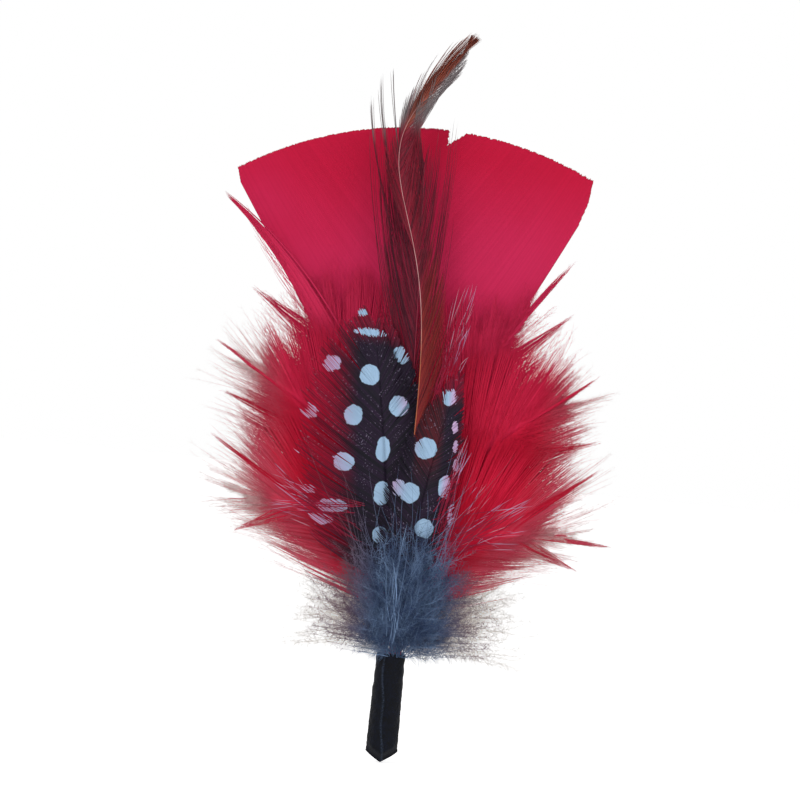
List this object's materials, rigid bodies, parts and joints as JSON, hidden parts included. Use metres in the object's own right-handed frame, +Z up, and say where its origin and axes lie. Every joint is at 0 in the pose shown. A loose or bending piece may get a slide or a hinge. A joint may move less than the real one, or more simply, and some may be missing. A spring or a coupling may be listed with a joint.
{
  "type": "feather hat trim",
  "caption": "Flat spray of red, brown and white-spotted dark feathers with down at its foot, bound in one dark taped stem that tucks into a hat band.",
  "frame": {"origin": "on the stem's axis, at the lower end of its full round wall; the pinched tape end reaches below it", "axes": "+Z up the stem towards the feather tips, -Y to the front of the spray, +X to its right as seen from the front"},
  "size_m": [0.0734, 0.0181, 0.1313],
  "materials": {
    "tape": "matte crepe tape, near black with a blue cast",
    "thread": "twisted black thread",
    "glue": "set amber glue",
    "red_shaft": "dyed keratin, satin",
    "flat_red": "dyed feather web with fine parallel barbs",
    "plume_red": "dyed fluffy barbs, pale at their tips",
    "maroon_shaft": "dyed keratin, satin",
    "maroon": "fine dark hackle barbs",
    "guinea": "dark barbs with pale round spots",
    "quill": "pale keratin, satin",
    "copper": "glossy copper-brown hackle barbs",
    "grey_down": "blue-grey down",
    "beige_down": "thin beige-grey down"
  },
  "bodies": {
    "root": {"stem_tape": "tape", "binding_thread": "thread", "glue_core": "glue", "flat_shaft": "red_shaft", "flat_web_left": "flat_red", "flat_web_right": "flat_red", "plume_upper_left_shaft": "red_shaft", "plume_upper_left_barbs": "plume_red", "plume_upper_right_shaft": "red_shaft", "plume_upper_right_barbs": "plume_red", "plume_middle_left_shaft": "red_shaft", "plume_middle_left_barbs": "plume_red", "plume_middle_right_shaft": "red_shaft", "plume_middle_right_barbs": "plume_red", "plume_lower_left_shaft": "red_shaft", "plume_lower_left_barbs": "plume_red", "plume_lower_right_shaft": "red_shaft", "plume_lower_right_barbs": "plume_red", "dark_hackle_shaft": "maroon_shaft", "dark_hackle_barbs": "maroon", "guinea_back_shaft": "quill", "guinea_back_vane": "guinea", "guinea_left_shaft": "quill", "guinea_left_vane": "guinea", "guinea_right_shaft": "quill", "guinea_right_vane": "guinea", "brown_hackle_shaft": "quill", "brown_hackle_barbs": "copper", "grey_down": "grey_down", "beige_down": "beige_down"}
  },
  "joints": []
}
